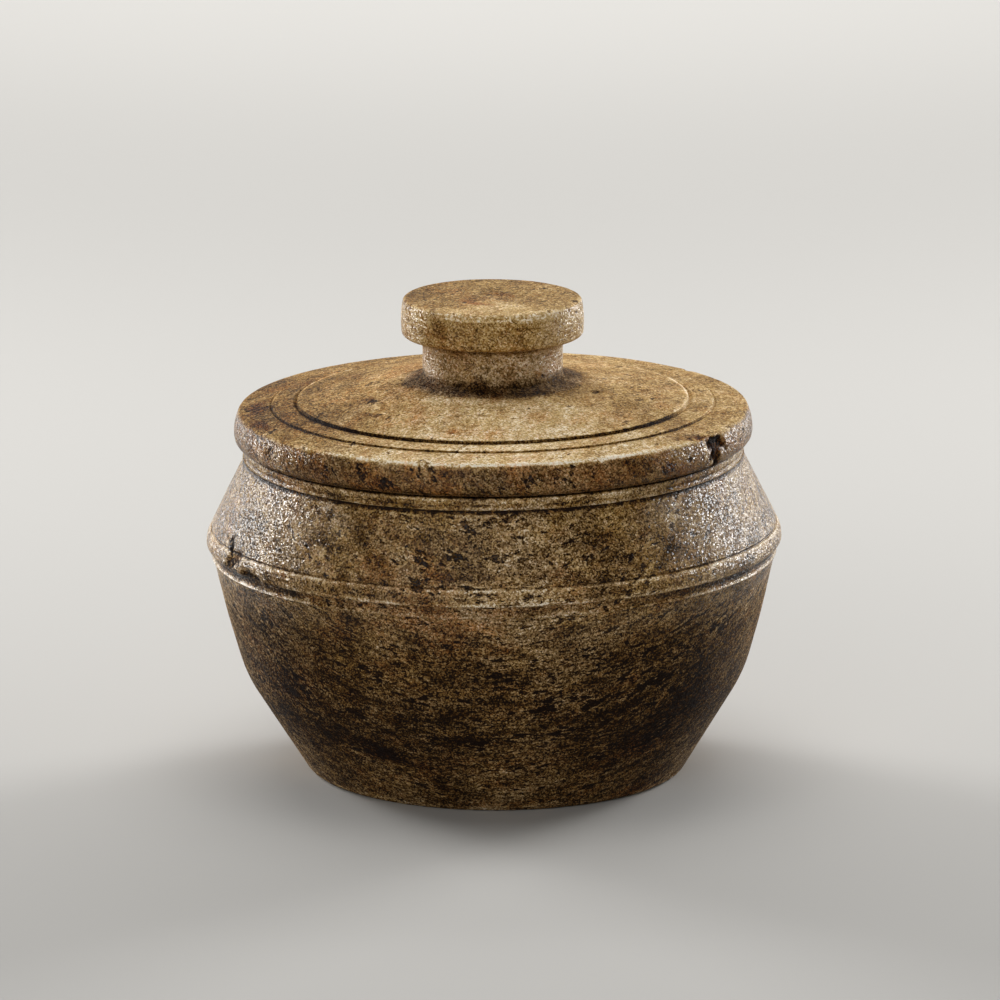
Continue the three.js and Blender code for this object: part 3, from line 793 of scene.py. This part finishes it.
def soapstone(name, colours, sizes, bedding, flattened, rare, contrast, clouded):
    """Soapstone, turned, rubbed smooth by handling and never polished.

    To the eye it is a waxy brown stone of fine dark and pale fibres, which lie flat along its bedding with
    black specks and dark or rusty streaks. The bedding is turned by the given angles. Turning left faint
    rings, and the worn grains break its satin sheen into glints. The tone it reads holds soil and painted
    shade in its lines, and edges rubbed pale or painted with highlights.
    """
    material = bpy.data.materials.new(name)
    material.use_nodes = True
    tree = material.node_tree
    tree.nodes.clear()
    coordinates = add(tree, "ShaderNodeTexCoord").outputs["Object"]
    tone, ochre, rust, dull, flecked, turning = [
        add(tree, "ShaderNodeAttribute", attribute_name=key).outputs["Fac"]
        for key in ("tone", "ochre", "rust", "dull", "flecked", "turning")]

    bedded = add(tree, "ShaderNodeMapping", {
        "Vector": coordinates, "Rotation": bedding, "Scale": (1, 1, flattened)}, vector_type="TEXTURE")
    streaks, fibres, flecks = [
        add(tree, "ShaderNodeTexNoise", {
            "Vector": bedded.outputs[0], "Scale": 1 / size, "Detail": detail, "Roughness": rough})
        for size, detail, rough in ((sizes.streak, 3, 0.6), (sizes.fibre, 2, 0.6), (sizes.fleck, 3, 0.65))]
    patches = add(tree, "ShaderNodeTexNoise", {
        "Vector": coordinates, "Scale": 1 / sizes.patch, "Detail": 3, "Roughness": 0.55, "Distortion": 0.5})
    rings = add(tree, "ShaderNodeTexNoise", {
        "W": turning, "Scale": 1 / sizes.tool_mark, "Detail": 1}, noise_dimensions="1D")
    streaked, fibrous, flecky, patchy, ringed = [
        texture.outputs["Fac"] for texture in (streaks, fibres, flecks, patches, rings)]
    grains, cells = [
        add(tree, "ShaderNodeTexVoronoi", {"Vector": coordinates, "Scale": 1 / size})
        for size in (sizes.grain, sizes.speck)]
    chance, luck, hues = [
        add(tree, "ShaderNodeSeparateColor", {"Color": texture.outputs["Color"]}).outputs
        for texture in (grains, cells, streaks)]

    # a speck is round, and the more its cell's luck allows the wider it is
    specks = add(tree, "ShaderNodeMath", {
        0: cells.outputs["Distance"], 1: -1.3, 2: luck["Red"]}, operation="MULTIPLY_ADD").outputs[0]
    black = black_share(tree, [(flecky, streaked, 1.2, 0.26), (specks, patchy, 1.6, 0.82)], flecked, rare)
    tone = mottled(tree, tone, [
        (chance["Red"], 0.4), (fibrous, 0.45), (streaked, clouded), (patchy, 0.4 * clouded), (ringed, 0.1)],
        contrast, black)
    browns = tone_ramp(tree, tone, [getattr(colours, f"brown_{k}") for k in range(1, 8)])
    ochres = tone_ramp(tree, tone, [getattr(colours, f"ochre_{k}") for k in range(1, 8)])
    ochre = hue_share(tree, ochre, hues["Green"], chance["Blue"])
    rust = hue_share(tree, rust, hues["Blue"], chance["Green"])
    colour = add(tree, "ShaderNodeMix", {0: ochre, 6: browns, 7: ochres}, data_type="RGBA").outputs[2]
    colour = add(tree, "ShaderNodeMix", {0: rust, 6: colour, 7: tuple(colours.rust)},
                 data_type="RGBA", blend_type="MULTIPLY").outputs[2]

    relief = grain_facets(tree, coordinates, grains)
    for layer, depth in ((fibrous, 0.25), (ringed, 0.1), (black, -0.1)):
        relief = add(tree, "ShaderNodeMath", {
            0: layer, 1: depth * MM, 2: relief}, operation="MULTIPLY_ADD").outputs[0]
    bump = add(tree, "ShaderNodeBump", {"Height": relief, "Strength": 1.0, "Distance": 1.0})
    shine = add(tree, "ShaderNodeMath", {0: chance["Green"], 1: 0.2, 2: 0.18}, operation="MULTIPLY_ADD")
    dulled = add(tree, "ShaderNodeMath", {0: dull, 1: 0.6, 2: shine.outputs[0]}, operation="MULTIPLY_ADD")
    shader = add(tree, "ShaderNodeBsdfPrincipled", {
        "Base Color": colour, "Roughness": dulled.outputs[0], "Normal": bump.outputs["Normal"],
        "IOR": 1.5, "Specular IOR Level": 0.15})
    add(tree, "ShaderNodeOutputMaterial", {"Surface": shader.outputs["BSDF"]})
    return material


def matt_paper(colour):
    """Paper, pressed and uncoated: to the eye a plain matt floor without a highlight."""
    paper = bpy.data.materials.new("matt paper floor")
    paper.use_nodes = True
    shader = paper.node_tree.nodes["Principled BSDF"].inputs
    shader["Base Color"].default_value, shader["Roughness"].default_value = colour, 0.9
    return paper


def aimed(name, data, place, target):
    """A lamp or camera at a place, turned to look at its target."""
    holder = bpy.data.objects.new(name, data)
    holder.location = place
    holder.rotation_euler = (Vector(target) - Vector(place)).to_track_quat("-Z", "Y").to_euler()
    bpy.context.scene.collection.objects.link(holder)
    return holder


class VESSEL_OT_body(bpy.types.Operator):
    """Builds the worn stone body over its CAD node"""
    bl_idname = "vessel.body"
    bl_label = "Turn the Body"

    def execute(self, context):
        sizes = context.scene.stone_sizes
        stone = soapstone("soapstone, turned and handled", context.scene.stone_colours, sizes,
                          bedding=(0.62, 0, 0), flattened=0.33, rare=1.0, contrast=1.25, clouded=0.8)
        piece = turned_stone("stone_body", body_corners(), BODY_MARKS, sizes, stone, body_colouring, seed=3)
        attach(piece, "vessel")
        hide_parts("vessel_body")
        return {"FINISHED"}


class VESSEL_OT_lid(bpy.types.Operator):
    """Builds the worn stone lid over its CAD node"""
    bl_idname = "vessel.lid"
    bl_label = "Turn the Lid"

    def execute(self, context):
        sizes = context.scene.stone_sizes
        stone = soapstone("ochre soapstone, turned and handled", context.scene.stone_colours, sizes,
                          bedding=(0.8, 0, 1.06), flattened=0.45, rare=1.07, contrast=1.05, clouded=0.5)
        piece = turned_stone("stone_lid", lid_corners(), LID_MARKS, sizes, stone, lid_colouring, seed=7)
        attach(piece, "lid")
        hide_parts("lid")
        return {"FINISHED"}


class VESSEL_OT_stage(bpy.types.Operator):
    """Sets the pale floor, the soft lamps and the camera at the photograph's angle"""
    bl_idname = "vessel.stage"
    bl_label = "Set the Stage"

    def execute(self, context):
        scene, colours = context.scene, context.scene.stone_colours
        scene.view_settings.view_transform = "Standard"
        half = FLOOR_HALF_WIDTH
        mesh = bpy.data.meshes.new("floor")
        mesh.from_pydata(
            [(-half, -half, 0), (half, -half, 0), (half, half, 0), (-half, half, 0)], [], [(0, 1, 2, 3)])
        mesh.materials.append(matt_paper(colours.floor))
        floor = bpy.data.objects.new("floor", mesh)
        scene.collection.objects.link(floor)
        world = bpy.data.worlds.new("pale studio")
        world.use_nodes = True
        world.node_tree.nodes["Background"].inputs["Color"].default_value = colours.floor
        world.node_tree.nodes["Background"].inputs["Strength"].default_value = WORLD_STRENGTH
        scene.world = world
        for name, place, target, width, height, power, spread in LAMPS:
            lamp = bpy.data.lights.new(name, "AREA")
            lamp.energy, lamp.spread = power, math.radians(spread)
            lamp.shape, lamp.size, lamp.size_y = "RECTANGLE", width, height
            aimed(name, lamp, place, target)
        camera = bpy.data.cameras.new("camera")
        camera.sensor_width, camera.lens, camera.clip_end = CAMERA_SENSOR, CAMERA_LENS, CAMERA_REACH
        scene.camera = aimed("camera", camera, CAMERA_PLACE, CAMERA_TARGET)
        return {"FINISHED"}


class VESSEL_PT_panel(bpy.types.Panel):
    """Lists the vessel's sizes, colours and steps"""
    bl_idname = "VESSEL_PT_panel"
    bl_label = "Stone Vessel"
    bl_space_type = "VIEW_3D"
    bl_region_type = "UI"
    bl_category = "Stone Vessel"

    def draw(self, context):
        for group in (context.scene.stone_sizes, context.scene.stone_colours):
            for key in group.__annotations__:
                self.layout.prop(group, key)
        for operator in (VESSEL_OT_body, VESSEL_OT_lid, VESSEL_OT_stage):
            self.layout.operator(operator.bl_idname)


CLASSES = (StoneSizes, StoneColours, VESSEL_OT_body, VESSEL_OT_lid, VESSEL_OT_stage, VESSEL_PT_panel)


def register():
    for cls in CLASSES:
        bpy.utils.register_class(cls)
    bpy.types.Scene.stone_sizes = bpy.props.PointerProperty(type=StoneSizes)
    bpy.types.Scene.stone_colours = bpy.props.PointerProperty(type=StoneColours)


def unregister():
    del bpy.types.Scene.stone_colours
    del bpy.types.Scene.stone_sizes
    for cls in reversed(CLASSES):
        bpy.utils.unregister_class(cls)


def main():
    register()
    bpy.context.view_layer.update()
    bpy.ops.vessel.body()
    bpy.ops.vessel.lid()
    bpy.ops.vessel.stage()


if __name__ == "__main__":
    main()
